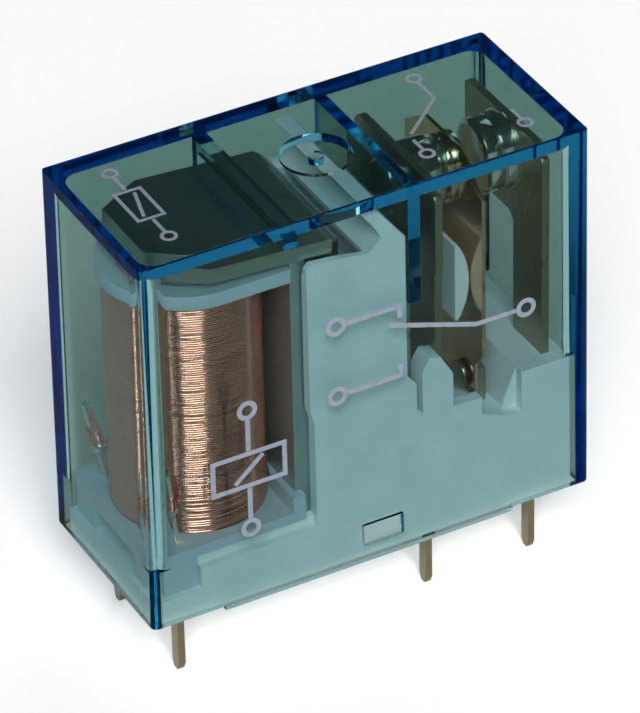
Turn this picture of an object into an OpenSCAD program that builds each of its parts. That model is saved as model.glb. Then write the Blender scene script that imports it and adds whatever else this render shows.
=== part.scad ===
// Power relay for printed boards: a coil, a hinged armature and a change-over contact in a clear cover.
// Millimetres. X runs from the coil end to the contact end, Y across, Z up from the board the relay sits on.
// The near side is -Y. The armature and the contacts are drawn at rest, with the coil switched off.

/* [Cover] */
// Length of the cover at its rim
cover_l = 29; // [28.9:0.1:29.3]
// Width of the cover at its rim
cover_w = 12.4; // [12.4:0.1:13]
// Height of the cover above the board
cover_h = 25; // [25:0.1:26]
// Thickness of the cover's walls at the rim
cover_wall = 0.7; // [0.65:0.05:0.8]
// Thickness of the cover's top
cover_top = 1.1; // [1:0.05:1.2]
// How far each outer side leans in up to the top
outer_lean = 0.16; // [0.1:0.02:0.2]
// How far each inner side leans in up to the top
inner_lean = 0.24; // [0.16:0.02:0.28]
// Radius of the cover's upright outer edges at the rim
edge_r = 0.4; // [0.25:0.05:0.6]
// Radius of the fillets inside the cover's upright corners at the top
post_r = 1; // [0.8:0.05:1.1]
// Radius of the vent well in the top
vent_r = 2.1; // [1.6:0.05:2.4]
// Depth of the vent well
vent_depth = 0.55; // [0.3:0.05:0.65]
// How far the rim is raised at the two ends, beside the pins
rim_relief = 0.3; // [0.1:0.05:0.5]

/* [Pins] */
// Distance between the two rows of pins
row_gap = 7.5; // [7.3:0.1:7.5]
// Length of the pins below the board seat
pin_len = 5; // [3:0.1:5.2]
// Thickness of a pin along the relay
pin_t = 0.45; // [0.35:0.05:0.5]
// Width of a pin across the relay
pin_w = 0.8; // [0.6:0.05:0.9]
// Place of the two coil pins along the relay
coil_pin_x = -11.75; // [-11.85:0.05:-11.65]
// From the coil pins to the pin of the resting contact
nc_pitch = 16.5; // [16.4:0.1:16.6]
// From one contact pin to the next along the relay
pin_pitch = 3.5; // [3.4:0.05:3.55]

/* [Coil] */
// Place of the coil's axis along the relay
coil_x = -8.65; // [-8.7:0.05:-8.65]
// Radius of the winding
winding_r = 4.25; // [3.8:0.05:4.25]
// Radius of the bobbin's barrel
barrel_r = 2.75; // [2.6:0.05:3]
// Radius of the iron core
core_r = 2.3; // [2:0.05:2.4]
// Number of grooves drawn on the winding
winding_grooves = 36; // [12:1:48]

/* [Armature] */
// Thickness of the armature's plate
armature_t = 0.95; // [0.85:0.05:1.1]
// How far the armature stands open at rest, in degrees
open_angle = 4; // [3:0.25:4]
// Half the width of the armature over the coil
armature_half_w = 4.45; // [4.2:0.05:4.45]

/* [Contacts] */
// Height of the contacts' common axis
contact_z = 20.9; // [20.6:0.1:21]
// Radius of the fixed contacts
fixed_contact_r = 1.9; // [1.6:0.05:2]
// Radius of the moving contact's heads
moving_contact_r = 1.7; // [1.4:0.05:1.8]
// Thickness of the moving spring
spring_t = 0.25; // [0.15:0.05:0.25]
// Thickness of the fixed blades
blade_t = 0.5; // [0.35:0.05:0.5]

/* [Hidden] */
$fn = 64;

cover_blue = [0.25, 0.55, 0.75, 0.35];
white_plastic = [0.88, 0.91, 0.92];
grey_plastic = [0.72, 0.78, 0.82];
copper = [0.72, 0.42, 0.28];
dark_steel = [0.22, 0.25, 0.27];
bright_steel = [0.55, 0.56, 0.56];
tinned_brass = [0.66, 0.62, 0.48];
spring_bronze = [0.5, 0.36, 0.26];
contact_silver = [0.78, 0.77, 0.74];
solder_grey = [0.7, 0.7, 0.7];

// Room inside the cover, with half sizes at the rim and slopes for each millimetre up
inner_x = cover_l / 2 - cover_wall;
inner_y = cover_w / 2 - cover_wall;
inner_z = cover_h - cover_top;
outer_slope = outer_lean / cover_h;
inner_slope = inner_lean / inner_z;
bite = cover_wall / 2;
over = 1;

// How far the sharp lower corners inside stand in from the walls
corner_step = 0.02;

// Ends of the rim's raised stretches
rim_x = [-9.8, 9.3];
vent_place = [-0.2, -0.4];
nib_r = 0.45;

// Inner ribs of the cover
coil_rib_x = [-5.15, -4.25];
coil_rib_depth = 0.8;
coil_rib_far_depth = 2.3;
coil_rib_clear_y = 4.7;
barrier_x = [2.78, 3.53];
barrier_low_z = 16.8;
barrier_play = 0.6;

// Snap pockets inside the long walls, and the lugs that fill them
snap_x = [-0.6, 2.05];
snap_z = [1, 2.45];
snap_skin = 0.35;
snap_play = 0.1;

// Base
base_play = 0.25;
base_x = inner_x - base_play;
base_y = inner_y - base_play;
floor_z = 1.6;
yoke_bed_z = 2.2;
bed_rim_z = [3.05, 3.2];
partition_x = [-3.65, 2.7];
partition_side_t = 0.8;
partition_lip_t = 0.62;
partition_fill_z = 10.5;
contact_floor_z = 7;
end_block_x = 10.25;
end_block_z = 9.25;
common_pocket_x = [7.6, 9.35];
common_pocket_y = 4.6;

// Pins
row_y = row_gap / 2;
nc_pin_x = coil_pin_x + nc_pitch;
common_pin_x = nc_pin_x + pin_pitch;
no_pin_x = nc_pin_x + 2 * pin_pitch;
pin_tip = 0.5;
foot_z = [1.6, 2.1];

// Magnet: the yoke's top edge is the hinge line, level with the core's pole face
yoke_t = 1;
yoke_half_w = 4.25;
yoke_back_x = -3.3;
yoke_end_x = -10.95;
pole_z = 21.4;
spigot_r = 1.8;
head_r = 3.3;
head_z = pole_z - 0.9;
bend_r = 0.3;

// Bobbin
flange_z = [yoke_bed_z + yoke_t, 4.45];
flange_lip_z = 3.8;
upper_flange_z = [20.25, 21.15];
flange_r = 4.5;
flange_half_w = 4.9;
flange_x = [-13.2, -3.95];
core_play = 0.05;

// Lower ends of the cover's corner fillets, at the coil end and at the contact end
post_low_z = [flange_lip_z + 0.15, end_block_z + 0.2];

// Armature, drawn closed and then turned open about the hinge line
hinge = [yoke_back_x, pole_z];
armature_gap = 0.02;
armature_z = pole_z + armature_gap;
armature_x = [-12.4, -0.7];
armature_end_half_w = 2.5;
armature_taper_x = -9.4;
armature_chamfer = 1;
tail_t = 1;
tail_low_z = 15.6;
tail_half_w = 3.6;
tongue_half_w = 1.6;

// Pusher: driven by the armature's tongue, pressing on the spring at its nose
nose_z = 15.2;
nose_half_h = 2.6;
nose_gap = 0.04;
arm_y = [-0.6, 3];
arm_z = [15.4, 17];

// Contacts, from the coil side outwards
contact_gap = 0.04;
nc_blade_x = 4.9;
spring_x = 8.12;
moving_head_t = [0.77, 0.93];
moving_head_sag = [0.32, 0.38];
nc_face_x = spring_x - moving_head_t[0] - contact_gap;
no_face_x = 10.03;
no_blade_x = 12.15;
shank_r = 0.9;
spring_rivet_y = 2;
spring_rivet_z = 8.1;
terminal_x = spring_x + spring_t + 0.1;

// Coil tags lean outwards from the flange to these tops, given for the far side
tag_low = [coil_pin_x, row_y - 0.35, flange_z[1]];
tag_top = [coil_pin_x - 1, row_y + 0.1, 9.6];
lead_r = 0.1;
solder_r = 0.55;
solder_share = 0.42;

// Box between two values on each axis
module block(x, y, z) {
    translate([x[0], y[0], z[0]])
        cube([x[1] - x[0], y[1] - y[0], z[1] - z[0]]);
}

// Outline in X and Z, run across the relay between two Y values
module across(y, points) {
    translate([0, y[1], 0])
        rotate([90, 0, 0])
            linear_extrude(y[1] - y[0])
                polygon(points);
}

// Outline in Y and Z, run along the relay between two X values
module along(x, points) {
    translate([x[0], 0, 0])
        rotate([90, 0, 90])
            linear_extrude(x[1] - x[0])
                polygon(points);
}

// Profile of radius and X, turned about the contacts' axis or a line beside it
module turned(y, z, points) {
    translate([0, y, z])
        rotate([0, 90, 0])
            rotate_extrude()
                polygon(points);
}

// Hole along X
module hole_along(x, y, z, r) {
    translate([x[0], y, z])
        rotate([0, 90, 0])
            cylinder(r = r, h = x[1] - x[0]);
}

// The same shape on the near and the far side
module both_sides() {
    children();
    mirror([0, 1, 0])
        children();
}

// Round bar between two points
module rod(a, b, r) {
    d = b - a;
    translate(a)
        rotate([0, acos(d.z / norm(d)), atan2(d.y, d.x)])
            cylinder(r = r, h = norm(d), $fn = 16);
}

// Points along an arc
function arc(c, r, from, to, steps = 8) =
    [for (i = [0:steps]) let (a = from + (to - from) * i / steps) c + r * [cos(a), sin(a)]];

// Outline between two heights, with sides that lean in as they rise
function leaning(half, z, slope) = [
    [-half + slope * z[0], z[0]], [half - slope * z[0], z[0]],
    [half - slope * z[1], z[1]], [-half + slope * z[1], z[1]]
];

// Block with leaning sides and round upright edges; half sizes and edge radius are those at board level
module leaning_block(half_x, half_y, z, slope, r) {
    across([-half_y + r, half_y - r], leaning(half_x, z, slope));
    along([-half_x + r, half_x - r], leaning(half_y, z, slope));
    for (sx = [-1, 1], sy = [-1, 1])
        translate([sx * (half_x - r), sy * (half_y - r), z[0]])
            cylinder(r1 = r - slope * z[0], r2 = r - slope * z[1], h = z[1] - z[0]);
}

// Block with leaning sides and sharp edges, between two X values
module sharp_leaning_block(x, half_x, half_y, z, slope) {
    intersection() {
        across([-half_y - over, half_y + over], leaning(half_x, z, slope));
        along(x, leaning(half_y, z, slope));
    }
}

// Room inside the cover: round corners above the coil's flange and the end block, sharp ones below
module cover_room() {
    corner_x = inner_x - corner_step;
    corner_y = inner_y - corner_step;
    leaning_block(inner_x, inner_y, [-over, inner_z], inner_slope, post_r + inner_lean);
    sharp_leaning_block([-cover_l, cover_l], corner_x, corner_y, [-over, post_low_z[0]], inner_slope);
    sharp_leaning_block([0, cover_l], corner_x, corner_y, [-over, post_low_z[1]], inner_slope);
}

// Shallow rib across the top over the coil, deeper at the far wall
module coil_rib() {
    wall_y = inner_y + bite;
    low_z = inner_z - coil_rib_depth;
    far_z = inner_z - coil_rib_far_depth;
    along(coil_rib_x, [
        [-wall_y, inner_z + bite], [-wall_y, low_z], [coil_rib_clear_y, low_z],
        [coil_rib_clear_y, far_z], [wall_y, far_z], [wall_y, inner_z + bite]
    ]);
}

// Barrier plate between coil and contacts, with a notch for the pusher's arm
module barrier_rib() {
    wall_y = inner_y + bite;
    notch_y = [arm_y[0] - barrier_play, arm_y[1] + barrier_play];
    notch_z = arm_z[1] + barrier_play;
    along(barrier_x, [
        [-wall_y, inner_z + bite], [-wall_y, barrier_low_z],
        [notch_y[0], barrier_low_z], [notch_y[0], notch_z],
        [notch_y[1], notch_z], [notch_y[1], barrier_low_z],
        [wall_y, barrier_low_z], [wall_y, inner_z + bite]
    ]);
}

// Round well with a nib in its middle that is cut off to vent the relay
module vent_well() {
    translate([vent_place.x, vent_place.y, cover_h - vent_depth])
        difference() {
            cylinder(r = vent_r, h = over);
            cylinder(r = nib_r, h = vent_depth - 0.1);
        }
}

module cover() {
    pocket_y = cover_w / 2 - snap_skin;
    color(cover_blue)
        difference() {
            union() {
                difference() {
                    leaning_block(cover_l / 2, cover_w / 2, [0, cover_h], outer_slope, edge_r);
                    cover_room();
                }
                coil_rib();
                barrier_rib();
            }
            vent_well();
            block(snap_x, [-pocket_y, pocket_y], snap_z);
            block([-cover_l, rim_x[0]], [-cover_w, cover_w], [-over, rim_relief]);
            block([rim_x[1], cover_l], [-cover_w, cover_w], [-over, rim_relief]);
        }
}

// Wedge that snaps into a pocket of the cover, on the near side
module snap_lug() {
    lug_y = -cover_w / 2 + snap_skin + snap_play;
    along([snap_x[0] + snap_play, snap_x[1] - snap_play], [
        [-base_y + over / 10, snap_z[0] + snap_play], [lug_y, snap_z[0] + snap_play],
        [lug_y, snap_z[0] + 0.5], [-base_y, snap_z[1] - snap_play],
        [-base_y + over / 10, snap_z[1] - snap_play]
    ]);
}

// Side wall of the partition, on the near side, with a thinner lip beside the armature's bend
module partition_side() {
    top_z = pole_z - 0.8;
    low_x = partition_x[0] + 0.25;
    foot_x = partition_x[1] + 0.6;
    across([-base_y, -base_y + partition_side_t], [
        [low_x, 0], [low_x, 10.6], [partition_x[0], 11.3],
        [partition_x[0], top_z], [partition_x[1], top_z], [partition_x[1], 11.6], [foot_x, 10.9], [foot_x, 0]
    ]);
    across([-base_y, -base_y + partition_lip_t], [
        [partition_x[0], top_z - over], [partition_x[0], pole_z - 0.3], [partition_x[0] + 0.3, pole_z],
        [-1.8, pole_z - 0.15], [0.8, pole_z - 0.6], [0.8, top_z - over]
    ]);
}

// Hollow partition that the armature's tail and the pusher work in
module partition() {
    wall_t = 0.8;
    play = 0.3;
    both_sides()
        partition_side();
    block([yoke_back_x, partition_x[1]], [-base_y, base_y], [0, partition_fill_z]);
    difference() {
        block([partition_x[1] - wall_t, partition_x[1]], [-base_y, base_y], [0, pole_z - 0.1]);
        block([0, partition_x[1] + over], [arm_y[0] - play, arm_y[1] + play],
            [arm_z[0] - play, arm_z[1] + play]);
    }
    partition_ridge();
}

// Ridge along the partition's top, hollowed beside the armature's bend and chamfered beside the contacts
module partition_ridge() {
    ridge_z = 23.5;
    across([-base_y, base_y], [
        [0.2, pole_z - 0.8], [0.2, pole_z - 0.5], [0.75, 21.25], [1.15, 21.75], [0.7, 22.6],
        [0.1, ridge_z - 0.1], [0.2, ridge_z], [1, ridge_z],
        [partition_x[1], pole_z - 0.1], [partition_x[1], pole_z - 0.8]
    ]);
}

// Side wall of the contact block, low in front of the pocket of the common terminal
module contact_side() {
    across([-base_y, -base_y + partition_side_t], [
        [partition_x[1], 0], [partition_x[1], 8.6], [common_pocket_x[0], 8.4], [common_pocket_x[0], 7.2],
        [common_pocket_x[1], 6.5], [end_block_x, 6.5], [end_block_x, 0]
    ]);
}

// Post that grips the near edge of the resting contact's blade
module blade_post() {
    across([-base_y, -base_y + 1.5], [
        [3.7, 6], [3.7, 11.6], [4.2, 12.4], [4.9, 12.2], [5.7, 10.8], [5.7, 6]
    ]);
}

// Raised end of the base that holds the contacts, with a slope up to the end block
module contact_block() {
    both_sides()
        contact_side();
    blade_post();
    block([partition_x[1] - over, end_block_x + over], [-base_y, base_y], [0, 6]);
    block([partition_x[1] - over, end_block_x + over], [-4.5, 4.5], [0, contact_floor_z]);
    block([end_block_x, base_x], [-base_y, base_y], [0, end_block_z]);
    across([-4.5, 4.5], [
        [common_pocket_x[1], 6], [common_pocket_x[1], contact_floor_z],
        [end_block_x, end_block_z], [end_block_x, 6]
    ]);
}

// Rims that hold the yoke's lower leg and the bobbin's flange
module coil_bed() {
    rim_foot_y = yoke_half_w + 0.08;
    inner_rim_y = rim_foot_y + 0.37;
    both_sides() {
        across([-base_y, -rim_foot_y], [
            [yoke_end_x, 0], [yoke_end_x, bed_rim_z[0]], [yoke_back_x, bed_rim_z[1]], [yoke_back_x, 0]
        ]);
        block([yoke_end_x, yoke_back_x], [-inner_rim_y, -rim_foot_y], [0, flange_lip_z]);
    }
    block([yoke_end_x, yoke_back_x], [-base_y, base_y], [0, yoke_bed_z]);
}

// Recess round each pin in the underside
module pin_recess(x, y) {
    block([x - 0.9, x + 0.9], [y - 0.9, y + 0.9], [-over, rim_relief]);
}

module base() {
    color(white_plastic)
        difference() {
            union() {
                intersection() {
                    union() {
                        block([-base_x, base_x], [-base_y, base_y], [0, floor_z]);
                        coil_bed();
                        partition();
                        contact_block();
                    }
                    sharp_leaning_block([-base_x, base_x], base_x, base_y, [0, inner_z], inner_slope);
                }
                both_sides()
                    snap_lug();
            }
            block(common_pocket_x, [-common_pocket_y, common_pocket_y], [6.6, end_block_z + over]);
            nc_terminal();
            no_terminal();
            common_plate();
            both_sides()
                coil_pin();
            for (x = [nc_pin_x, no_pin_x])
                pin_recess(x, -row_y);
            pin_recess(common_pin_x, row_y);
            both_sides()
                pin_recess(coil_pin_x, row_y);
        }
}

// Flange outline of the upper end: round at the coil end, square against the yoke
module upper_flange() {
    translate([coil_x, 0, upper_flange_z[0]])
        cylinder(r = flange_r, h = upper_flange_z[1] - upper_flange_z[0]);
    block([coil_x, yoke_back_x - yoke_t - 0.05], [-flange_r, flange_r], upper_flange_z);
}

module bobbin() {
    yoke_front_x = yoke_back_x - yoke_t - 0.05;
    notch_y = yoke_half_w + 0.05;
    tower_y = flange_half_w - 0.1;
    tower_z = flange_z[1] + 1.1;
    color(grey_plastic)
        difference() {
            union() {
                block(flange_x, [-flange_half_w, flange_half_w], [flange_lip_z, flange_z[1]]);
                block(flange_x, [-yoke_half_w, yoke_half_w], flange_z);
                difference() {
                    block([yoke_front_x - 0.4, flange_x[1]], [-flange_half_w, flange_half_w],
                        [flange_lip_z, tower_z]);
                    translate([coil_x, 0, 0])
                        cylinder(r = winding_r + 0.1, h = cover_h);
                }
                both_sides()
                    block([flange_x[0], yoke_end_x - 0.05], [-tower_y, -2.6], [floor_z, flange_z[1]]);
                translate([coil_x, 0, flange_z[0]])
                    cylinder(r = barrel_r, h = upper_flange_z[1] - flange_z[0]);
                upper_flange();
            }
            block([yoke_front_x, flange_x[1] + over], [-notch_y, notch_y], [0, cover_h]);
            block([yoke_front_x - bend_r, flange_x[1]], [-notch_y, notch_y], [0, flange_z[0] + bend_r]);
            translate([coil_x, 0, 0])
                cylinder(r = core_r + core_play, h = cover_h);
            translate([coil_x, 0, head_z])
                cylinder(r = head_r + core_play, h = over);
            both_sides()
                coil_pin();
        }
}

// Copper turns, drawn as grooves in the outside of one solid
module coil_winding() {
    z0 = flange_z[1];
    pitch = (upper_flange_z[0] - z0) / winding_grooves;
    groove = pitch * 0.2;
    color(copper)
        translate([coil_x, 0, 0])
            rotate_extrude()
                polygon(concat(
                    [[barrel_r, z0]],
                    [for (i = [0:winding_grooves - 1], s = [0:2])
                        [winding_r - (s == 1 ? 0 : groove), z0 + (i + s / 2) * pitch]],
                    [[barrel_r, upper_flange_z[0]]]
                ));
}

module core() {
    color(bright_steel)
        translate([coil_x, 0, 0]) {
            translate([0, 0, yoke_bed_z])
                cylinder(r = spigot_r, h = yoke_t);
            translate([0, 0, flange_z[0]])
                cylinder(r = core_r, h = head_z - flange_z[0]);
            translate([0, 0, head_z])
                cylinder(r = head_r, h = pole_z - head_z);
        }
}

module yoke() {
    front_x = yoke_back_x - yoke_t;
    foot_top = flange_z[0];
    color(dark_steel)
        difference() {
            across([-yoke_half_w, yoke_half_w], concat(
                [[yoke_end_x, yoke_bed_z]],
                arc([yoke_back_x - yoke_t, yoke_bed_z + yoke_t], yoke_t, -90, 0),
                [[yoke_back_x, pole_z], [front_x, pole_z]],
                arc([front_x - bend_r, foot_top + bend_r], bend_r, 0, -90),
                [[yoke_end_x, foot_top]]
            ));
            translate([coil_x, 0, 0])
                cylinder(r = spigot_r, h = pole_z);
        }
}

// Side outline of the closed armature: plate, bend and tail
function armature_side() = let (
    top = armature_z + armature_t,
    outer_r = bend_r + tail_t
) concat(
    [[armature_x[0], armature_z], [armature_x[0], top]],
    arc([armature_x[1] - outer_r, top - outer_r], outer_r, 90, 0),
    [[armature_x[1], tail_low_z], [armature_x[1] - tail_t, tail_low_z]],
    arc([armature_x[1] - outer_r, armature_z - bend_r], bend_r, 0, 90)
);

// Three outlines that meet in the armature: from the side, from the end and from above
module armature() {
    shoulder_z = pole_z - 0.2;
    color(dark_steel)
        translate([hinge[0], 0, hinge[1]])
            rotate([0, open_angle, 0])
                translate([-hinge[0], 0, -hinge[1]])
                    intersection() {
                        across([-armature_half_w, armature_half_w], armature_side());
                        along([armature_x[0] - over, armature_x[1] + over], [
                            [-armature_half_w, cover_h], [-armature_half_w, shoulder_z],
                            [-tail_half_w, shoulder_z],
                            [-tail_half_w, 18.4], [-tongue_half_w, 17.7], [-tongue_half_w, tail_low_z - over],
                            [tongue_half_w, tail_low_z - over], [tongue_half_w, 17.7], [tail_half_w, 18.4],
                            [tail_half_w, shoulder_z],
                            [armature_half_w, shoulder_z], [armature_half_w, cover_h]
                        ]);
                        linear_extrude(cover_h)
                            polygon([
                                [armature_x[0], -armature_end_half_w], [armature_taper_x, -armature_half_w],
                                [armature_x[1] - armature_chamfer, -armature_half_w],
                                [armature_x[1], armature_chamfer - armature_half_w],
                                [armature_x[1], armature_half_w - armature_chamfer],
                                [armature_x[1] - armature_chamfer, armature_half_w],
                                [armature_taper_x, armature_half_w], [armature_x[0], armature_end_half_w]
                            ]);
                    }
}

// White slide: a fork round the armature's tongue, an arm through the partition and a rounded nose
module pusher() {
    nose_x = spring_x - nose_gap;
    nose_back_x = nose_x - 0.95;
    nose_sag = 0.72;
    nose_r = (nose_half_h * nose_half_h + nose_sag * nose_sag) / (2 * nose_sag);
    nose_turn = asin(nose_half_h / nose_r);
    color(white_plastic) {
        difference() {
            block([-2.7, -0.2], [-2.5, 2.5], [15, 17.2]);
            block([-2.35, -0.92], [-tongue_half_w - 0.2, tongue_half_w + 0.2], [15.2, 17.2 + over]);
        }
        block([-0.3, nose_back_x + 0.1], arm_y, arm_z);
        across([-2.9, 3.4], concat(
            [[nose_back_x, nose_z + nose_half_h], [nose_back_x, nose_z - nose_half_h]],
            arc([nose_x - nose_r, nose_z], nose_r, -nose_turn, nose_turn, 12)
        ));
    }
}

module moving_spring() {
    half_w = 4.3;
    color(spring_bronze)
        difference() {
            along([spring_x, spring_x + spring_t], [
                [-3.4, 7.2], [-3.4, 9.5], [-half_w, 10.5], [-half_w, 21.35], [-1.9, 22.9],
                [1.9, 22.9], [half_w, 21.35], [half_w, 10.5], [3.4, 9.5], [3.4, 7.2]
            ]);
            hole_along([spring_x - over, spring_x + over], 0, contact_z, shank_r);
            for (y = [-spring_rivet_y, spring_rivet_y])
                hole_along([spring_x - over, spring_x + over], y, spring_rivet_z, 0.6);
        }
}

// Domed head of a contact rivet, with its flat side on the XY plane
module domed_head(r, t, sag) {
    dome_r = (r * r + sag * sag) / (2 * sag);
    intersection() {
        cylinder(r = r, h = t);
        translate([0, 0, t - dome_r])
            sphere(r = dome_r, $fn = 128);
    }
}

// Two-sided contact rivet in the top of the moving spring
module moving_contact() {
    color(contact_silver)
        translate([spring_x, 0, contact_z]) {
            rotate([0, -90, 0])
                domed_head(moving_contact_r, moving_head_t[0], moving_head_sag[0]);
            rotate([0, 90, 0])
                cylinder(r = shank_r, h = spring_t);
            translate([spring_t, 0, 0])
                rotate([0, 90, 0])
                    domed_head(moving_contact_r, moving_head_t[1], moving_head_sag[1]);
        }
}

// Pin with a blunt tip, up to a given height
module pin(x, y, top_z) {
    along([x - pin_t / 2, x + pin_t / 2], [
        [y - pin_w / 2, top_z], [y - pin_w / 2, pin_tip - pin_len], [y - pin_w / 4, -pin_len],
        [y + pin_w / 4, -pin_len], [y + pin_w / 2, pin_tip - pin_len], [y + pin_w / 2, top_z]
    ]);
}

// Foot that joins a pin to the blade above it
module foot(pin_x, blade_x, y) {
    x = [min(pin_x - pin_t / 2, blade_x), max(pin_x + pin_t / 2, blade_x + blade_t)];
    block(x, [y - pin_w / 2, y + pin_w / 2], foot_z);
}

module common_plate() {
    pin(common_pin_x, row_y, foot_z[1]);
    foot(common_pin_x, terminal_x, row_y);
    along([terminal_x, terminal_x + blade_t], [
        [row_y - pin_w / 2, foot_z[0]], [row_y - pin_w / 2, 4], [-3.2, 4], [-3.2, 8.9],
        [row_y + pin_w / 2, 8.9], [row_y + pin_w / 2, foot_z[0]]
    ]);
}

module common_terminal() {
    color(tinned_brass)
        difference() {
            common_plate();
            for (y = [-spring_rivet_y, spring_rivet_y])
                hole_along([terminal_x - over, terminal_x + over], y, spring_rivet_z, 0.45);
        }
}

// Rivets that hold the foot of the moving spring to the common terminal
module spring_rivets() {
    neck_x = spring_x - 0.17;
    head_x = neck_x - 0.27;
    back_x = terminal_x + blade_t;
    color(tinned_brass)
        for (y = [-spring_rivet_y, spring_rivet_y])
            turned(y, spring_rivet_z, [
                [0, head_x], [0.7, head_x], [0.85, head_x + 0.1], [0.85, neck_x],
                [0.45, neck_x], [0.45, back_x],
                [0.75, back_x], [0.75, back_x + 0.2], [0, back_x + 0.2]
            ]);
}

// Blade of the resting contact, with its pin: a wide head on a stem along the near side
module nc_terminal() {
    pin(nc_pin_x, -row_y, foot_z[1]);
    foot(nc_pin_x, nc_blade_x, -row_y);
    along([nc_blade_x, nc_blade_x + blade_t], concat(
        [[-4.45, foot_z[0]], [-4.45, 17.5], [-4.6, 17.7]],
        arc([-4.1, 22.4], 0.5, 180, 90),
        arc([3.65, 22.1], 0.8, 90, 0),
        [[4.45, 18], [3.75, 17.3], [-1, 17.3], [-1.5, 16.8], [-1.5, foot_z[0]]]
    ));
}

module nc_blade() {
    color(tinned_brass)
        difference() {
            nc_terminal();
            hole_along([nc_blade_x - over, nc_blade_x + over], 0, contact_z, shank_r);
        }
}

module nc_contact() {
    back_x = nc_blade_x + blade_t;
    r = fixed_contact_r;
    color(contact_silver)
        turned(0, contact_z, [
            [0, nc_blade_x - 0.35], [1.1, nc_blade_x - 0.35], [1.3, nc_blade_x - 0.2], [1.3, nc_blade_x],
            [shank_r, nc_blade_x], [shank_r, back_x], [r, back_x],
            [r, nc_face_x - 0.2], [r - 0.2, nc_face_x], [0, nc_face_x]
        ]);
}

// Blade of the working contact, with its pin: a wide head on a stem along the near side
module no_terminal() {
    pin(no_pin_x, -row_y, foot_z[1]);
    foot(no_pin_x, no_blade_x, -row_y);
    along([no_blade_x, no_blade_x + blade_t], concat(
        [[-4.2, foot_z[0]]],
        arc([-3.8, 22.45], 0.4, 180, 90),
        arc([3.9, 22.45], 0.4, 90, 0),
        [[4.3, 17.9], [3.7, 17.3], [-0.4, 17.3], [-0.9, 16.8], [-0.9, foot_z[0]]]
    ));
}

module no_blade() {
    color(tinned_brass)
        difference() {
            no_terminal();
            hole_along([no_blade_x - over, no_blade_x + over], 0, contact_z, shank_r);
        }
}

module no_contact() {
    back_x = no_blade_x + blade_t;
    groove_x = no_blade_x - 0.95;
    r = fixed_contact_r;
    groove_r = r - 0.08;
    rim_r = r + 0.12;
    color(contact_silver)
        turned(0, contact_z, [
            [0, no_face_x], [r - 0.25, no_face_x], [r, no_face_x + 0.2],
            [r, groove_x - 0.1], [groove_r, groove_x - 0.05],
            [groove_r, groove_x + 0.05], [r, groove_x + 0.1],
            [r, no_blade_x - 0.2], [rim_r, no_blade_x - 0.15], [rim_r, no_blade_x],
            [shank_r, no_blade_x], [shank_r, back_x],
            [1.3, back_x], [1.3, back_x + 0.2], [1.1, back_x + 0.35], [0, back_x + 0.35]
        ]);
}

// Coil pin of the far side, with its leaning tag
module coil_pin() {
    tag = [pin_t, pin_w * 0.8, 0.02];
    mirror([0, 1, 0])
        pin(coil_pin_x, -row_y, tag_low.z);
    hull() {
        translate(tag_low - tag / 2)
            cube(tag);
        translate(tag_top - tag / 2)
            cube(tag);
    }
}

// Place on the far tag where the wire is soldered
function solder_place() = tag_low + solder_share * (tag_top - tag_low);

// Wire from the far side of the winding to the far tag
module coil_lead() {
    to_tag = [tag_low.x - coil_x, tag_low.y];
    start = [coil_x, 0] + to_tag / norm(to_tag) * (winding_r + lead_r);
    rod([start.x, start.y, tag_low.z + 0.9], solder_place(), lead_r);
}

module lead_of_coil() {
    difference() {
        coil_lead();
        coil_pin();
    }
}

module solder_of_coil() {
    difference() {
        translate(solder_place())
            sphere(r = solder_r, $fn = 32);
        coil_pin();
        coil_lead();
    }
}

module coil_pin_near() {
    color(tinned_brass)
        mirror([0, 1, 0])
            coil_pin();
}

module coil_pin_far() {
    color(tinned_brass)
        coil_pin();
}

module coil_lead_near() {
    color(copper)
        mirror([0, 1, 0])
            lead_of_coil();
}

module coil_lead_far() {
    color(copper)
        lead_of_coil();
}

module coil_solder_near() {
    color(solder_grey)
        mirror([0, 1, 0])
            solder_of_coil();
}

module coil_solder_far() {
    color(solder_grey)
        solder_of_coil();
}

cover();
base();
bobbin();
coil_winding();
core();
yoke();
armature();
pusher();
moving_spring();
moving_contact();
common_terminal();
spring_rivets();
nc_blade();
nc_contact();
no_blade();
no_contact();
coil_pin_near();
coil_pin_far();
coil_lead_near();
coil_lead_far();
coil_solder_near();
coil_solder_far();
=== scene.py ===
import math
import random

import bmesh
import bpy
from bpy.props import FloatProperty, FloatVectorProperty, IntProperty, PointerProperty
from mathutils import Matrix, Vector


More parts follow.
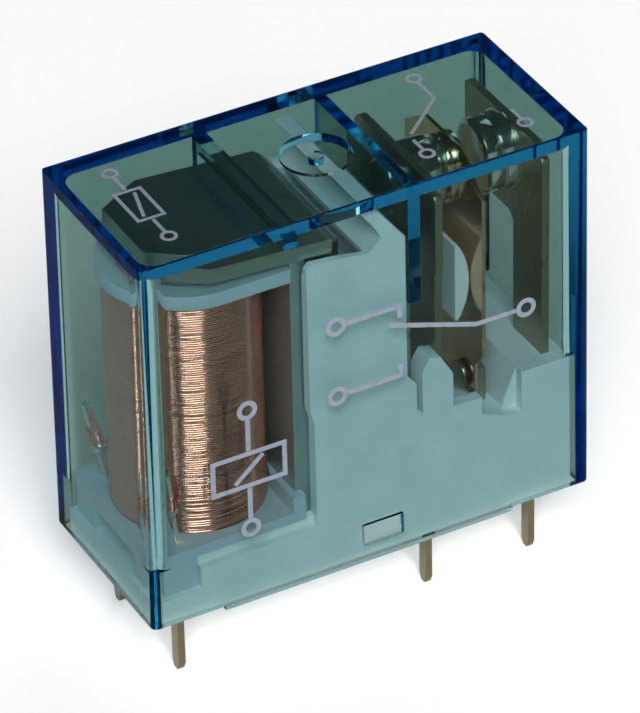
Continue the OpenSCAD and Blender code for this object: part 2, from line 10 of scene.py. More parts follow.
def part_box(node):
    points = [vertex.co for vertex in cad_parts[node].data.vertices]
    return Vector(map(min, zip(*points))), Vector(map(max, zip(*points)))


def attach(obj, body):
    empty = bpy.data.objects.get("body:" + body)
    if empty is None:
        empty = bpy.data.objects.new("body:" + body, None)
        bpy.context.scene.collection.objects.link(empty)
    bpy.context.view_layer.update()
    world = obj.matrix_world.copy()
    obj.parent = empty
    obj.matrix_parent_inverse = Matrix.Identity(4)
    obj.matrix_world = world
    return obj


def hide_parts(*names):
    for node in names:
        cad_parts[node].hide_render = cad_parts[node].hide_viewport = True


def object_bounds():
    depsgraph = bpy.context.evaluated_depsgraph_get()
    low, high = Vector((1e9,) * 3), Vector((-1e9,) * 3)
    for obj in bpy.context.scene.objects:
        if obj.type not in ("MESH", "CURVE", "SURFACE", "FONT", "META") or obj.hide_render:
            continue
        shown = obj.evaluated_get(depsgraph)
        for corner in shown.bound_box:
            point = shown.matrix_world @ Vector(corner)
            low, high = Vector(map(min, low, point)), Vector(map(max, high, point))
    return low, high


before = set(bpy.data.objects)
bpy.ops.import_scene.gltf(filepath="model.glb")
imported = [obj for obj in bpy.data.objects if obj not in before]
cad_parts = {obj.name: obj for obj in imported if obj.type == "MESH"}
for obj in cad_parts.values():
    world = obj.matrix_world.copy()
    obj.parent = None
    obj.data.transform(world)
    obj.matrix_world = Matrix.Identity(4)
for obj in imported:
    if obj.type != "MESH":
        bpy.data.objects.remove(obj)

bl_info = {
    "name": "Clear Cover Power Relay",
    "version": (1, 0, 0),
    "blender": (4, 5, 0),
    "location": "View3D > Sidebar > Relay",
    "description": "Finishes of a board relay in a clear blue cover, around its fixed solids",
    "category": "Add Mesh",
}

CAD_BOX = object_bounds()
MM = 0.001

# Pieces of the relay by what they are made of
WHITE_PIECES = ("base", "pusher")
MAGNET_PIECES = ("yoke", "armature", "core")
BLADE_PIECES = ("common_terminal", "spring_rivets", "nc_blade", "no_blade")
TAG_PIECES = ("coil_pin_near", "coil_pin_far")
CONTACT_PIECES = ("moving_contact", "nc_contact", "no_contact")
LEAD_PIECES = ("coil_lead_near", "coil_lead_far")
SOLDER_PIECES = ("coil_solder_near", "coil_solder_far")

# How the marks of a finish are packed along X, Y and Z: they run along the axis with the smallest number
EVEN_RUN = (1, 1, 1)
SCUFF_RUN = (1, 1, 0.4)
PLATE_RUN = (1, 0.3, 1)
CORE_RUN = (1, 1, 0.2)
STRIP_RUN = (1, 1, 0.12)
SPRING_RUN = (1, 1, 0.1)
RIVET_RUN = (0.2, 1, 1)
WIRE_RUN = (0.25, 0.25, 6.0)

# Softened edges: how close points are joined, how flat faces are joined, how sharp an edge has to be
WELD_GAP = 0.0005 * MM
FLAT_ANGLE = math.radians(0.3)
EDGE_ANGLE = math.radians(35)

# A turn of wire from its lower groove up: part of the pitch, and part of the groove's depth below the crown
TURN_SECTION = ((0.0, 1.0), (0.2, 0.35), (0.5, 0.0), (0.8, 0.35))
WINDING_SEED = 7

# How far the cover's front leans in on its way up
COVER_LEAN = 0.16 * MM


# Settings

def colour(name, description, default):
    """A colour that a user may change."""
    return FloatVectorProperty(
        name=name, description=description, default=default, subtype="COLOR", size=3, min=0, max=1)


def length(name, description, default):
    """A length in metres that a user may change."""
    return FloatProperty(
        name=name, description=description, default=default, unit="LENGTH", min=0, precision=6)


def share(name, description, default):
    """A share from nothing to all that a user may change."""
    return FloatProperty(
        name=name, description=description, default=default, subtype="FACTOR", min=0, max=1)


def angle(name, description, degrees):
    """An angle that a user may change."""
    return FloatProperty(name=name, description=description, default=math.radians(degrees), subtype="ANGLE")


def power(name, description, default):
    """The power of a lamp that a user may change."""
    return FloatProperty(name=name, description=description, default=default, unit="POWER", min=0)


class RelayCoverLook(bpy.types.PropertyGroup):
    """Clear plastic of the cover"""
    tint: colour("Tint", "Colour that the plastic lets through", (0.0, 0.66, 0.86))
    depth: FloatProperty(
        name="Depth", description="How strongly a metre of plastic takes light", default=300, min=0)
    bend: FloatProperty(
        name="Refraction", description="Refractive index of the plastic", default=1.58, min=1)
    polish: share("Roughness", "Roughness of the moulded faces", 0.02)
    # This tint of a wall seen straight through is painted shade: it darkens all seen through the cover far
    # more than the plastic takes, standing for dim surroundings behind it
    see_through_painted_shade: colour("Painted shade", "Tint of a wall seen straight through", (0.46, 0.52, 0.46))
    shade: colour("Shade", "Part of a lamp's light that passes each face", (0.8, 0.815, 0.85))
    sheen: colour("Sheen", "How strongly a face seen straight on mirrors the room", (0.15, 0.15, 0.15))
    gloss: share("Gloss", "Part of the mirror gloss that the outside keeps", 0.12)
    edge: length("Edge", "Width of the softened edges", 0.12 * MM)


class RelayPlasticLook(bpy.types.PropertyGroup):
    """Moulded pieces inside the cover"""
    white: colour("White", "Base and pusher", (0.84, 0.86, 0.84))
    grey: colour("Pale grey", "Bobbin", (0.54, 0.6, 0.63))
    edge: length("Edge", "Width of the softened edges", 0.07 * MM)


class RelayMetalLook(bpy.types.PropertyGroup):
    """Metal pieces of the magnet and the contacts"""
    steel: colour("Dark steel", "Armature", (0.42, 0.45, 0.44))
    # The yoke's tone is painted lighter than the armature's steel: painted light that lifts the shade in the
    # gap behind the coil
    yoke: colour("Yoke steel", "Yoke behind the coil", (0.54, 0.61, 0.61))
    iron: colour("Core iron", "Core of the coil", (0.4, 0.41, 0.42))
    bronze: colour("Spring bronze", "Moving spring", (0.75, 0.46, 0.3))
    brass: colour("Tinned brass", "Fixed blades", (0.37, 0.31, 0.225))
    pins: colour("Pins", "Dull tin on the pins below the board seat", (0.155, 0.128, 0.074))
    tags: colour("Coil tags", "Bright tin on the tags of the coil", (0.8, 0.82, 0.76))
    silver: colour("Contact silver", "Contact rivets", (0.86, 0.83, 0.78))
    solder: colour("Solder", "Joints on the coil tags", (0.66, 0.66, 0.64))
    edge: length("Edge", "Width of the softened edges", 0.05 * MM)
    rivet_edge: length("Contact edge", "Width of the softened edges on the contacts", 0.015 * MM)


class RelayWindingLook(bpy.types.PropertyGroup):
    """Turns of copper wire on the bobbin"""
    turns: IntProperty(
        name="Turns", description="Turns that show on the outside", default=104, min=12, max=160)
    steps: IntProperty(
        name="Steps", description="Points round one turn", default=112, min=24, max=160)
    wander: length("Wander", "How far a turn strays from its row", 0.035 * MM)
    ripple: length("Ripple", "How far a turn waves in and out on its way round", 0.03 * MM)
    copper: colour("Copper", "Enamelled wire", (1.0, 0.41, 0.33))
    shade: colour("Shade", "Darker bands round the coil", (0.9, 0.26, 0.19))


class RelayPrintLook(bpy.types.PropertyGroup):
    """Print on the cover"""
    ink: colour("Ink", "Pale ink on the cover", (0.2, 0.225, 0.275))
    stroke: length("Stroke", "Width of a printed line", 0.3 * MM)
    lift: length("Lift", "Gap between the ink and the cover", 0.004 * MM)
    ink_depth: length("Ink depth", "Thickness of the ink", 0.016 * MM)


class RelayStageLook(bpy.types.PropertyGroup):
    """Floor, lamps and camera"""
    floor: colour("Floor", "Pale floor that curves up all round", (0.97, 0.97, 0.965))
    sky: FloatProperty(
        name="Sky", description="Strength of the even light from all sides", default=0.12, min=0)
    key: power("Key lamp", "Power of the large lamp in front", 52)
    fill: power("Fill lamp", "Power of the lamp at the back", 6)
    turn: angle("Camera turn", "Angle of the camera round the relay", -27.879)
    rise: angle("Camera rise", "Angle of the camera above the floor", 35.328)
    roll: angle("Camera roll", "Lean of the camera", -1.343)
    distance: length("Camera distance", "From the camera to the middle of the relay", 326.611 * MM)
    lens: FloatProperty(
        name="Lens", description="Focal length of the camera", default=285.641, unit="CAMERA", min=1)


# Nodes of a material

def add_node(tree, kind, values=None, **settings):
    """A node with its settings and the values of its sockets."""
    made = tree.nodes.new(kind)
    for key, value in settings.items():
        setattr(made, key, value)
    for socket, value in (values or {}).items():
        made.inputs[socket].default_value = value
    return made


def start_finish(name, values):
    """A new material, its node tree and its main shader with plain values set on it."""
    material = bpy.data.materials.new(name)
    material.use_nodes = True
    tree = material.node_tree
    shader = tree.nodes["Principled BSDF"]
    for socket, value in values.items():
        shader.inputs[socket].default_value = value
    return material, tree, shader


def millimetres(tree, run=EVEN_RUN):
    """Place on the piece in millimetres, packed along each axis as the marks of a finish run."""
    place = add_node(tree, "ShaderNodeTexCoord")
    scale = [part / MM for part in run]
    mapped = add_node(tree, "ShaderNodeMapping", {"Scale": scale})
    tree.links.new(place.outputs["Object"], mapped.inputs["Vector"])
    return mapped.outputs["Vector"]


def grain(tree, per_mm, detail=3.0, run=EVEN_RUN):
    """Cloudy noise with about so many spots to the millimetre."""
    noise = add_node(tree, "ShaderNodeTexNoise", {"Scale": per_mm, "Detail": detail})
    tree.links.new(millimetres(tree, run), noise.inputs["Vector"])
    return noise.outputs["Fac"]


def tones(tree, amount, low, high, start=0.35, end=0.65):
    """Colours from one tone to another as an amount goes from start to end."""
    ramp = add_node(tree, "ShaderNodeValToRGB")
    for stop, place, tone in zip(ramp.color_ramp.elements, (start, end), (low, high)):
        stop.position = place
        stop.color = (*tone, 1)
    tree.links.new(amount, ramp.inputs["Fac"])
    return ramp.outputs["Color"]


def between(tree, amount, low, high, start=0.3, end=0.7):
    """A number from low to high as an amount goes from start to end."""
    spread = add_node(tree, "ShaderNodeMapRange", {
        "From Min": start, "From Max": end, "To Min": low, "To Max": high})
    tree.links.new(amount, spread.inputs["Value"])
    return spread.outputs["Result"]


def relief(tree, shader, amount, height, strength):
    """Fine relief of the surface, with its height in metres."""
    bump = add_node(tree, "ShaderNodeBump", {"Strength": strength, "Distance": height})
    tree.links.new(amount, bump.inputs["Height"])
    tree.links.new(bump.outputs["Normal"], shader.inputs["Normal"])


def mix(tree, first, second, part=0.5, by=None):
    """Two shaders in one: a fixed part of the second, or as much of it as a node says."""
    mixed = add_node(tree, "ShaderNodeMixShader", {"Fac": part})
    if by is not None:
        tree.links.new(by, mixed.inputs["Fac"])
    tree.links.new(first, mixed.inputs[1])
    tree.links.new(second, mixed.inputs[2])
    return mixed.outputs["Shader"]


def darker(tone, part):
    """A tone with part of its light taken off."""
    return [value * (1 - part) for value in tone]


# Finishes

def moulded_finish(name, tone, roughness, clouds_per_mm):
    """Moulded plastic with faint clouds in its colour and a fine grain."""
    cloud_shade = 0.07
    specks_per_mm = 9.0
    smoothest = roughness - 0.06
    roughest = roughness + 0.08
    speck_height = 0.002 * MM
    material, tree, shader = start_finish(name, {"IOR": 1.5})
    clouds = grain(tree, clouds_per_mm)
    tree.links.new(tones(tree, clouds, darker(tone, cloud_shade), tone), shader.inputs["Base Color"])
    specks = grain(tree, specks_per_mm, detail=4.0)
    tree.links.new(between(tree, specks, smoothest, roughest), shader.inputs["Roughness"])
    relief(tree, shader, specks, speck_height, strength=0.3)
    return material


def rolling_marks(tree, shader, roughness, run, per_mm, height=0.003 * MM, spread=0.3):
    """Marks of rolling or turning, in the roughness and the relief of a metal."""
    smoothest = roughness * (1 - spread)
    roughest = roughness * (1 + spread)
    marks = grain(tree, per_mm, detail=4.0, run=run)
    tree.links.new(between(tree, marks, smoothest, roughest), shader.inputs["Roughness"])
    relief(tree, shader, marks, height, strength=0.6)


def metal_finish(name, tone, roughness, run, marks_per_mm, stain=0.18, **marks):
    """Metal with faint stains, and with marks along one way whose height and spread may be given."""
    stains_per_mm = 0.9
    material, tree, shader = start_finish(name, {"Metallic": 1.0})
    stains = grain(tree, stains_per_mm, detail=4.0)
    tree.links.new(tones(tree, stains, darker(tone, stain), tone), shader.inputs["Base Color"])
    rolling_marks(tree, shader, roughness, run, marks_per_mm, **marks)
    return material


def strip_finish(name, pin_tone, tone):
    """Rolled strip, in a duller tone on the pins below the board seat."""
    roughness = 0.34
    marks_per_mm = 7.0
    # Height in millimetres at which the dull tin of the pins ends, and at which the strip is bright
    dull_up_to, bright_from = 0.3, 0.7
    material, tree, shader = start_finish(name, {"Metallic": 1.0})
    place = add_node(tree, "ShaderNodeSeparateXYZ")
    tree.links.new(millimetres(tree), place.inputs["Vector"])
    above_seat = between(tree, place.outputs["Z"], 0, 1, start=dull_up_to, end=bright_from)
    tree.links.new(tones(tree, above_seat, pin_tone, tone), shader.inputs["Base Color"])
    rolling_marks(tree, shader, roughness, STRIP_RUN, marks_per_mm)
    return material


def lamp_rays(tree):
    """One for rays to a lamp and rays off a matt surface, which pass straight through, and else nothing."""
    ray = add_node(tree, "ShaderNodeLightPath")
    either = add_node(tree, "ShaderNodeMath", operation="MAXIMUM")
    tree.links.new(ray.outputs["Is Shadow Ray"], either.inputs[0])
    tree.links.new(ray.outputs["Is Diffuse Ray"], either.inputs[1])
    return either.outputs["Value"]


def cover_finish(look):
    """Clear blue plastic: light is taken along its way through the walls, which also carry painted shade,
    and lamps reach what is inside.
    """
    scuffs_per_mm = 2.2
    smoothest = look.polish * 0.6
    roughest = look.polish * 1.6
    # Light crosses a wall through two faces, so each takes the root of the wall's painted shade
    face_painted_shade = [math.sqrt(part) for part in look.see_through_painted_shade]
    # The base colour is the wall's painted shade, which darkens what is seen through the cover
    material, tree, plastic = start_finish("cover_plastic", {
        "Base Color": (*look.see_through_painted_shade, 1), "Transmission Weight": 1.0, "IOR": look.bend,
        "Specular Tint": (*look.sheen, 1),
    })
    scuffs = grain(tree, scuffs_per_mm, detail=6.0, run=SCUFF_RUN)
    tree.links.new(between(tree, scuffs, smoothest, roughest), plastic.inputs["Roughness"])
    bent = add_node(tree, "ShaderNodeBsdfRefraction", {
        "Color": (*face_painted_shade, 1), "Roughness": look.polish, "IOR": look.bend})
    outside = mix(tree, bent.outputs["BSDF"], plastic.outputs["BSDF"], part=look.gloss)
    side = add_node(tree, "ShaderNodeNewGeometry")
    walls = mix(tree, outside, plastic.outputs["BSDF"], by=side.outputs["Backfacing"])
    clear = add_node(tree, "ShaderNodeBsdfTransparent", {"Color": (*look.shade, 1)})
    surface = mix(tree, walls, clear.outputs["BSDF"], by=lamp_rays(tree))
    inside = add_node(tree, "ShaderNodeVolumeAbsorption", {"Color": (*look.tint, 1), "Density": look.depth})
    out = tree.nodes["Material Output"]
    tree.links.new(surface, out.inputs["Surface"])
    tree.links.new(inside.outputs["Volume"], out.inputs["Volume"])
    return material


def copper_finish(look):
    """Enamelled copper wire, with darker bands round the coil."""
    bands_per_mm = 1.1
    material, tree, shader = start_finish("enamelled_copper", {
        "Metallic": 1.0, "Roughness": 0.14, "Coat Weight": 0.7, "Coat Roughness": 0.12, "Coat IOR": 1.6,
    })
    bands = grain(tree, bands_per_mm, detail=5.0, run=WIRE_RUN)
    banded = tones(tree, bands, look.shade, look.copper, start=0.3, end=0.55)
    tree.links.new(banded, shader.inputs["Base Color"])
    return material


def ink_finish(look):
    """Pale matt ink, thinner in patches."""
    patches_per_mm = 3.0
    thin_shade = 0.25
    material, tree, shader = start_finish("pale_ink", {"Roughness": 0.6, "Specular IOR Level": 0.2})
    patches = grain(tree, patches_per_mm, detail=5.0)
    patchy = tones(tree, patches, darker(look.ink, thin_shade), look.ink, start=0.3, end=0.5)
    tree.links.new(patchy, shader.inputs["Base Color"])
    return material


def floor_finish(look):
    """Pale matt floor with wide, faint clouds."""
    clouds_per_mm = 0.02
    cloud_shade = 0.01
    material, tree, shader = start_finish("pale_floor", {"Roughness": 0.9, "Specular IOR Level": 0.1})
    clouds = grain(tree, clouds_per_mm)
    tree.links.new(
        tones(tree, clouds, darker(look.floor, cloud_shade), look.floor), shader.inputs["Base Color"])
    return material


def dress(names, material):
    """Give CAD nodes a finish."""
    for name in names:
        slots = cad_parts[name].data.materials
        slots.clear()
        slots.append(material)


# Shapes

def soften(names, width, segments=2):
    """Soften the edges of CAD nodes, as moulded and stamped edges are."""
    for name in names:
        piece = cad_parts[name]
        weld = piece.modifiers.new("join_faces", "WELD")
        weld.merge_threshold = WELD_GAP
        flat = piece.modifiers.new("clear_flats", "DECIMATE")
        flat.decimate_type = "DISSOLVE"
        flat.angle_limit = FLAT_ANGLE
        bevel = piece.modifiers.new("soft_edges", "BEVEL")
        bevel.width = width
        bevel.segments = segments
        bevel.limit_method = "ANGLE"
        bevel.angle_limit = EDGE_ANGLE
        piece.modifiers.new("even_shading", "WEIGHTED_NORMAL")


def add_object(name, bm, material):
    """A mesh in the scene, in one finish."""
    mesh = bpy.data.meshes.new(name)
    bm.to_mesh(mesh)
    bm.free()
    mesh.materials.append(material)
    made = bpy.data.objects.new(name, mesh)
    bpy.context.scene.collection.objects.link(made)
    return made


def new_piece(name, bm, material, body):
    """A new mesh piece that rides on a body of the relay."""
    piece = add_object(name, bm, material)
    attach(piece, body)
    return piece


def rows_to_faces(bm, rows):
    """Faces between neighbouring closed rows of points."""
    for low, high in zip(rows, rows[1:]):
        for i in range(len(low)):
            j = (i + 1) % len(low)
            bm.faces.new((low[i], low[j], high[j], high[i]))


def close_ends(bm, rows):
    """Faces over the first and the last row of points."""
    bm.faces.new(reversed(rows[0]))
    bm.faces.new(rows[-1])


def shade_round(bm):
    """Turn the faces outward and shade them as one round surface."""
    bmesh.ops.recalc_face_normals(bm, faces=bm.faces)
    for face in bm.faces:
        face.smooth = True


def wire_turns(look):
    """Turns of wire as one closed sleeve, each turn round in section and straying a little."""
    # Wall of the sleeve, and depth of the grooves and of the upper rim in pitches
    wall, groove_share, rim_share = 1.2 * MM, 0.5, 0.4
    # How much all turns wander, what the lowest turn adds, and the part of the coil in which that fades
    firm, slack, slack_part = 0.6, 2, 0.25
    # How far turns sink, sway and ripple, as parts of the settings, and how many waves they have
    sink_mean, sink_spread = 0.2, 0.6
    sway_range, ripple_range, wave_range = (0.1, 0.5), (0.2, 1), (7, 13)
    # Share of the second sway, and of how far a sway draws a turn in and lifts it
    second, drawn_in, lifted = 0.6, 0.6, 0.5
    chance = random.Random(WINDING_SEED)
    low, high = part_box("coil_winding")
    axis = (low + high) / 2
    outer = (high.x - low.x) / 2
    inner = outer - wall
    pitch = (high.z - low.z) / look.turns
    turnings = [math.tau * i / look.steps for i in range(look.steps)]
    bm = bmesh.new()

    def ring(radii, heights):
        """A closed row of points round the coil."""
        return [
            bm.verts.new((axis.x + radius * math.cos(turning), axis.y + radius * math.sin(turning), height))
            for turning, radius, height in zip(turnings, radii, heights)]

    def plain_ring(radius, height):
        """A round and level row of points."""
        return ring([radius] * look.steps, [height] * look.steps)

    rows = [plain_ring(inner, low.z)]
    for count in range(look.turns):
        loose = firm + slack * max(0.0, 1 - count / (look.turns * slack_part))
        sunk = look.wander * loose * max(0.0, chance.gauss(sink_mean, sink_spread))
        phases = [chance.uniform(0, math.tau) for _ in range(3)]
        sway = look.wander * loose * chance.uniform(*sway_range)
        ripple = look.ripple * chance.uniform(*ripple_range)
        waves = chance.randint(*wave_range)
        strays = []
        for turning in turnings:
            swing = math.sin(turning + phases[0]) + second * math.sin(2 * turning + phases[1])
            strays.append(sway * swing / (1 + second))
        ripples = [ripple * (0.5 + 0.5 * math.sin(waves * turning + phases[2])) for turning in turnings]
        for part_up, part_deep in TURN_SECTION:
            z = low.z + (count + part_up) * pitch
            drop = sunk + part_deep * pitch * groove_share
            radii = [outer - drop - abs(stray) * drawn_in - wave for stray, wave in zip(strays, ripples)]
            heights = [min(max(z + stray * lifted, low.z), high.z) for stray in strays]
            rows.append(ring(radii, heights))
    rows.append(plain_ring(outer - pitch * rim_share, high.z))
    rows.append(plain_ring(inner, high.z))
    rows_to_faces(bm, rows + rows[:1])
    shade_round(bm)
    return bm


def tag_line(side):
    """Middle of the solder on a coil tag, and the direction from there to the tag's tip."""
    half_thickness, half_width = 0.225 * MM, 0.32 * MM
    low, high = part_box("coil_solder_" + side)
    foot = (low + high) / 2
    low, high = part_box("coil_pin_" + side)
    outer_y = low.y if side == "near" else high.y
    tip = Vector((low.x + half_thickness, outer_y - math.copysign(half_width, outer_y), high.z))
    return foot, (tip - foot).normalized()


def coil_wraps(side):
    """Turns of wire round a coil tag, above its solder."""
    turns, steps, sides = 8, 14, 6
    wire_r, wrap_r = 0.06 * MM, 0.4 * MM
    pitch, start = 2.2 * wire_r, 0.25 * MM
    foot, axis = tag_line(side)
    out = axis.cross(Vector((0, 1, 0))).normalized()
    over = axis.cross(out)
    bm = bmesh.new()
    rows = []
    for i in range(turns * steps + 1):
        turning = math.tau * i / steps
        spoke = out * math.cos(turning) + over * math.sin(turning)
        middle = foot + axis * (start + pitch * i / steps) + spoke * wrap_r
        row = []
        for k in range(sides):
            around = math.tau * k / sides
            row.append(bm.verts.new(middle + wire_r * (spoke * math.cos(around) + axis * math.sin(around))))
        rows.append(row)
    rows_to_faces(bm, rows)
    close_ends(bm, rows)
    shade_round(bm)
    return bm


# Print, with its signs drawn in millimetres

def stroke_sides(points, width, closed):
    """Points to the left and the right of a printed line, mitred where it turns."""
    sides = []
    last = len(points) - 1
    for i, point in enumerate(points):
        ways = []
        if closed or i > 0:
            ways.append((point - points[i - 1]).normalized())
        if closed or i < last:
            ways.append((points[(i + 1) % len(points)] - point).normalized())
        normals = [Vector((-way.y, way.x)) for way in ways]
        mitre = sum(normals, Vector((0, 0))).normalized()
        reach = width / 2 / mitre.dot(normals[0])
        sides.append((point + mitre * reach, point - mitre * reach))
    return sides


def print_strokes(bm, strokes, width, place):
    """Printed lines with the thickness of ink: each is a list of points and whether it closes."""
    for points, closed in strokes:
        sides = stroke_sides([Vector(point) * MM for point in points], width, closed)
        rows = []
        for left, right in sides:
            corners = (place(left, 0), place(left, 1), place(right, 1), place(right, 0))
            rows.append([bm.verts.new(corner) for corner in corners])
        rows_to_faces(bm, rows + rows[:1] if closed else rows)
        if not closed:
            close_ends(bm, rows)
    bmesh.ops.recalc_face_normals(bm, faces=bm.faces)


def line(*points):
    """An open stroke."""
    return points, False


def circle(x, y, radius, steps=24):
    """A closed round stroke."""
    turnings = [math.tau * i / steps for i in range(steps)]
    return [(x + radius * math.cos(turning), y + radius * math.sin(turning)) for turning in turnings], True


def box_with_slash(x, y, width, height):
    """Sign of a coil: a box with a slanting line."""
    left, right = x - width / 2, x + width / 2
    low, high = y - height / 2, y + height / 2
    slant, margin = width * 0.2, 0.3
    return [
        ([(left, low), (right, low), (right, high), (left, high)], True),
        line((x - slant, low + margin), (x + slant, high - margin)),
    ]


def wiring_signs():
    """Coil and change-over contact as plain signs, in X and Z on the front."""
    # Radius of a ring, and how far from its middle its line starts
    ring, tail = 0.5, 0.67
    coil_x, coil_z = -8, 9.4
    coil_width, coil_height, coil_reach = 4.6, 2.2, 1.3
    top_z, foot_z = 13.5, 5.3
    contact_x, upper_z, lower_z = -2.2, 17.2, 12.4
    blade_x, hook = 1.9, 0.8
    pivot_x, pivot_z = 10.2, 14.2
    elbow_x, arm_tip = 6.9, (1.2, 16.1)
    return [
        *box_with_slash(coil_x, coil_z, coil_width, coil_height),
        line((coil_x, coil_z + coil_reach), (coil_x, top_z - tail)),
        circle(coil_x, top_z, ring),
        line((coil_x, coil_z - coil_reach), (coil_x, foot_z + tail)),
        circle(coil_x, foot_z, ring),
        circle(contact_x, upper_z, ring),
        line((contact_x + tail, upper_z), (blade_x, upper_z), (blade_x, upper_z - hook)),
        circle(contact_x, lower_z, ring),
        line((contact_x + tail, lower_z), (blade_x, lower_z), (blade_x, lower_z + hook)),
        circle(pivot_x, pivot_z, ring),
        line((pivot_x - tail, pivot_z), (elbow_x, pivot_z), arm_tip),
    ]


def pin_signs():
    """Places of the pins and the coil, in X and Y on the top."""
    # Radius of a ring, and how far from its middle its line starts
    ring, tail = 0.4, 0.53
    near, far = -3.6, 3.6
    coil_x, resting_x, common_x, working_x = -11.2, 5.2, 8.4, 11.6
    coil_width, coil_height, coil_reach = 1.6, 3, 1.7
    fixed_end = -2
    elbow_y, arm_tip = 1.2, (5.4, -1.4)
    return [
        circle(coil_x, near, ring),
        circle(coil_x, far, ring),
        *box_with_slash(coil_x, 0, coil_width, coil_height),
        line((coil_x, near + tail), (coil_x, -coil_reach)),
        line((coil_x, far - tail), (coil_x, coil_reach)),
        circle(resting_x, near, ring),
        circle(common_x, far, ring),
        circle(working_x, near, ring),
        line((common_x, far - tail), (common_x, elbow_y), arm_tip),
        line((resting_x, near + tail), (resting_x, fixed_end)),
        line((working_x, near + tail), (working_x, fixed_end)),
    ]


def printed_lines(look):
    """All print on the cover as one thin piece on its leaning front and its top."""
    low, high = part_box("cover")
    lean = COVER_LEAN / high.z
    top_stroke = look.stroke * 0.7
    bm = bmesh.new()

    def rise(layer):
        """Height of the underside (0) or the top (1) of the ink above the cover."""
        return look.lift + layer * look.ink_depth

    def on_front(point, layer):
        """A point of the front's print, with its second number as height."""
        return point.x, low.y + lean * point.y - rise(layer), point.y

    def on_top(point, layer):
        """A point of the top's print."""
        return point.x, point.y, high.z + rise(layer)

    print_strokes(bm, wiring_signs(), look.stroke, on_front)
    print_strokes(bm, pin_signs(), top_stroke, on_top)
    return bm


# Floor, lamps and camera, in metres

def pale_floor(look):
    """Floor under the pins that curves up into a low rim all round."""
    middle_r, flat_r, curve_r = 0.02, 0.8, 0.3
    rim_angle = math.radians(60)
    rim_steps, steps = 10, 96
    ground = CAD_BOX[0].z
    outline = [(middle_r, 0.0)]
    for i in range(rim_steps + 1):
        lean = rim_angle * i / rim_steps
        outline.append((flat_r + curve_r * math.sin(lean), curve_r * (1 - math.cos(lean))))
    turnings = [math.tau * i / steps for i in range(steps)]
    bm = bmesh.new()
    rows = []
    for radius, rise in outline:
        rows.append([
            bm.verts.new((radius * math.cos(turning), radius * math.sin(turning), ground + rise))
            for turning in turnings])
    bm.faces.new(rows[0])
    rows_to_faces(bm, rows)
    shade_round(bm)
    floor = add_object("floor", bm, floor_finish(look))


def even_sky(strength):
    """A world with the same white light from every side."""
    world = bpy.data.worlds.new("studio")
    world.use_nodes = True
    sky = world.node_tree.nodes["Background"]
    sky.inputs["Color"].default_value = (1, 1, 1, 1)
    sky.inputs["Strength"].default_value = strength
    return world


def add_lamp(name, place, size, energy, aim):
    """Large soft lamp that faces the relay."""
    data = bpy.data.lights.new(name, "AREA")
    data.shape = "RECTANGLE"
    data.size, data.size_y = size
    data.energy = energy
    lamp = bpy.data.objects.new(name, data)
    lamp.location = place
    lamp.rotation_euler = (Vector(place) - aim).to_track_quat("Z", "Y").to_euler()
    bpy.context.scene.collection.objects.link(lamp)


def camera_axes(look):
    """Directions to the right of, above and behind the camera's view."""
    across = Vector((math.cos(look.turn), math.sin(look.turn), 0))
    back = Vector((
        math.sin(look.turn) * math.cos(look.rise),
        -math.cos(look.turn) * math.cos(look.rise),
        math.sin(look.rise)))
    up = back.cross(across)
    right = across * math.cos(look.roll) + up * math.sin(look.roll)
    above = up * math.cos(look.roll) - across * math.sin(look.roll)
    return right, above, back


def set_camera(look):
    """Camera at the angle of the picture, aimed a little below the middle of the cover."""
    aside, below = 0.011 * MM, 1.526 * MM
    right, above, back = camera_axes(look)
    cover_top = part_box("cover")[1].z
    aim = Vector((0, 0, cover_top / 2)) + right * aside - above * below
    data = bpy.data.cameras.new("camera")
    data.lens = look.lens
    data.sensor_width = 36
    data.clip_start = 0.02
    data.clip_end = 10
    camera = bpy.data.objects.new("camera", data)
    turned = Matrix((right, above, back)).transposed().to_4x4()
    camera.matrix_world = Matrix.Translation(aim + back * look.distance) @ turned
    bpy.context.scene.collection.objects.link(camera)
    bpy.context.scene.camera = camera


# Operators

class RELAY_OT_cover(bpy.types.Operator):
    """Finish the clear cover"""
    bl_idname = "relay.cover"
    bl_label = "Clear Cover"

    def execute(self, context):
        look = context.scene.relay_cover
        dress(["cover"], cover_finish(look))
        soften(["cover"], look.edge, segments=3)
        return {"FINISHED"}


class RELAY_OT_mouldings(bpy.types.Operator):
    """Finish the base, the pusher and the bobbin"""
    bl_idname = "relay.mouldings"
    bl_label = "Moulded Pieces"

    def execute(self, context):
        look = context.scene.relay_plastic
        white = moulded_finish("white_moulding", look.white, roughness=0.45, clouds_per_mm=0.35)
        pale = moulded_finish("pale_moulding", look.grey, roughness=0.4, clouds_per_mm=0.5)
        dress(WHITE_PIECES, white)
        dress(["bobbin"], pale)
        soften([*WHITE_PIECES, "bobbin"], look.edge)
        return {"FINISHED"}


class RELAY_OT_winding(bpy.types.Operator):
    """Wind the coil with turns of wire"""
    bl_idname = "relay.winding"
    bl_label = "Coil Winding"

    def execute(self, context):
        look = context.scene.relay_winding
        copper = copper_finish(look)
        piece = new_piece("wire_turns", wire_turns(look), copper, "frame")
        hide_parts("coil_winding")
        dress(LEAD_PIECES, copper)
        for side in ("near", "far"):
            new_piece("tag_wraps_" + side, coil_wraps(side), copper, "frame")
        return {"FINISHED"}


class RELAY_OT_magnet(bpy.types.Operator):
    """Finish the yoke, the armature and the core"""
    bl_idname = "relay.magnet"
    bl_label = "Magnet"

    def execute(self, context):
        look = context.scene.relay_metal
        # The yoke's lighter tone is painted light, lifting the shade in the gap behind the coil
        for name, tone, roughness in (("armature", look.steel, 0.24), ("yoke", look.yoke, 0.4)):
            plate = metal_finish(
                name + "_steel", tone, roughness, PLATE_RUN, marks_per_mm=3.0, stain=0.1,
                height=0.0001 * MM, spread=0.06)
            dress([name], plate)
        iron = metal_finish("turned_iron", look.iron, 0.35, CORE_RUN, marks_per_mm=8.0)
        dress(["core"], iron)
        soften(MAGNET_PIECES, look.edge)
        return {"FINISHED"}


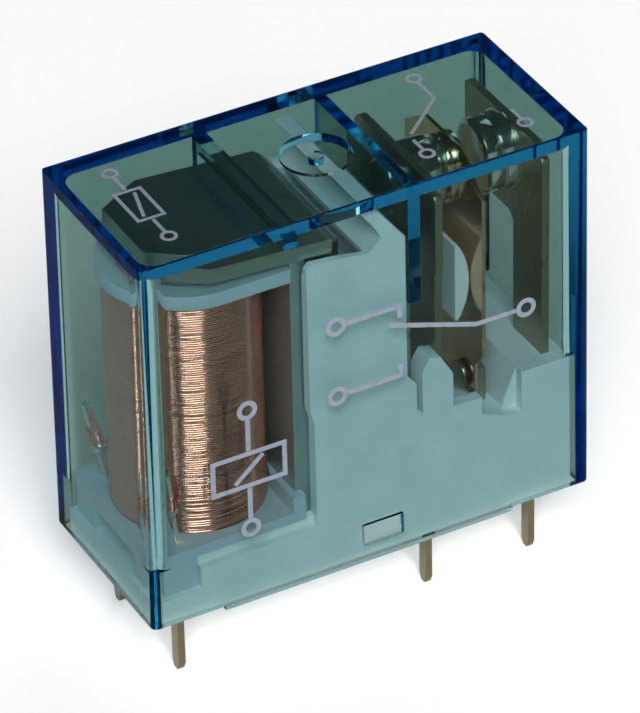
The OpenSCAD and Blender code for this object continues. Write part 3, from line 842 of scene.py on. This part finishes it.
class RELAY_OT_contacts(bpy.types.Operator):
    """Finish the blades, the moving spring, the contacts and the pins"""
    bl_idname = "relay.contacts"
    bl_label = "Contacts and Pins"

    def execute(self, context):
        look = context.scene.relay_metal
        strip = strip_finish("tinned_strip", look.pins, look.brass)
        tags = strip_finish("tinned_tags", look.pins, look.tags)
        spring = metal_finish("spring_strip", look.bronze, 0.16, SPRING_RUN, marks_per_mm=6.0)
        silver = metal_finish("bright_silver", look.silver, 0.14, RIVET_RUN, marks_per_mm=5.0)
        solder = metal_finish(
            "soft_solder", look.solder, 0.25, EVEN_RUN, marks_per_mm=3.0, stain=0.1, height=0.03 * MM)
        dress(BLADE_PIECES, strip)
        dress(TAG_PIECES, tags)
        dress(["moving_spring"], spring)
        dress(CONTACT_PIECES, silver)
        dress(SOLDER_PIECES, solder)
        soften([*BLADE_PIECES, *TAG_PIECES, "moving_spring"], look.edge)
        soften(CONTACT_PIECES, look.rivet_edge)
        return {"FINISHED"}


class RELAY_OT_print(bpy.types.Operator):
    """Print plain wiring signs on the cover"""
    bl_idname = "relay.print"
    bl_label = "Printed Signs"

    def execute(self, context):
        look = context.scene.relay_print
        new_piece("printed_signs", printed_lines(look), ink_finish(look), "frame")
        return {"FINISHED"}


class RELAY_OT_stage(bpy.types.Operator):
    """Set the floor, the lamps and the camera"""
    bl_idname = "relay.stage"
    bl_label = "Stage"

    def execute(self, context):
        scene = context.scene
        look = scene.relay_stage
        lamp_aim = Vector((0, 0, 12 * MM))
        scene.view_settings.view_transform = "Standard"
        scene.cycles.max_bounces = 40
        scene.cycles.glossy_bounces = 36
        scene.cycles.transmission_bounces = 24
        scene.cycles.transparent_max_bounces = 24
        scene.world = even_sky(look.sky)
        pale_floor(look)
        add_lamp("key_lamp", place=(-0.556, -1.375, 1.35), size=(0.95, 0.8), energy=look.key, aim=lamp_aim)
        add_lamp("fill_lamp", place=(1.35, 1.05, 1.35), size=(0.9, 0.9), energy=look.fill, aim=lamp_aim)
        set_camera(look)
        return {"FINISHED"}


# Panel

class RELAY_PT_pieces(bpy.types.Panel):
    """Steps that dress the relay, and the settings that they use"""
    bl_idname = "RELAY_PT_pieces"
    bl_label = "Power Relay"
    bl_space_type = "VIEW_3D"
    bl_region_type = "UI"
    bl_category = "Relay"

    def draw(self, context):
        for step in STEPS:
            self.layout.operator(step.bl_idname)
        for group, kind in GROUPS.items():
            box = self.layout.box()
            box.label(text=kind.__doc__)
            settings = getattr(context.scene, group)
            for key in kind.__annotations__:
                box.prop(settings, key)


STEPS = (
    RELAY_OT_cover, RELAY_OT_mouldings, RELAY_OT_winding, RELAY_OT_magnet, RELAY_OT_contacts, RELAY_OT_print,
    RELAY_OT_stage,
)
GROUPS = {
    "relay_cover": RelayCoverLook, "relay_plastic": RelayPlasticLook, "relay_metal": RelayMetalLook,
    "relay_winding": RelayWindingLook, "relay_print": RelayPrintLook, "relay_stage": RelayStageLook,
}


def register():
    """Add the settings, the steps and the panel to Blender."""
    for group, kind in GROUPS.items():
        bpy.utils.register_class(kind)
        setattr(bpy.types.Scene, group, PointerProperty(type=kind))
    for step in STEPS:
        bpy.utils.register_class(step)
    bpy.utils.register_class(RELAY_PT_pieces)


def unregister():
    """Take the panel, the steps and the settings away again."""
    bpy.utils.unregister_class(RELAY_PT_pieces)
    for step in reversed(STEPS):
        bpy.utils.unregister_class(step)
    for group, kind in GROUPS.items():
        delattr(bpy.types.Scene, group)
        bpy.utils.unregister_class(kind)


def main():
    """Dress the relay step by step."""
    register()
    bpy.ops.relay.cover()
    bpy.ops.relay.mouldings()
    bpy.ops.relay.winding()
    bpy.ops.relay.magnet()
    bpy.ops.relay.contacts()
    bpy.ops.relay.print()
    bpy.ops.relay.stage()


if __name__ == "__main__":
    main()
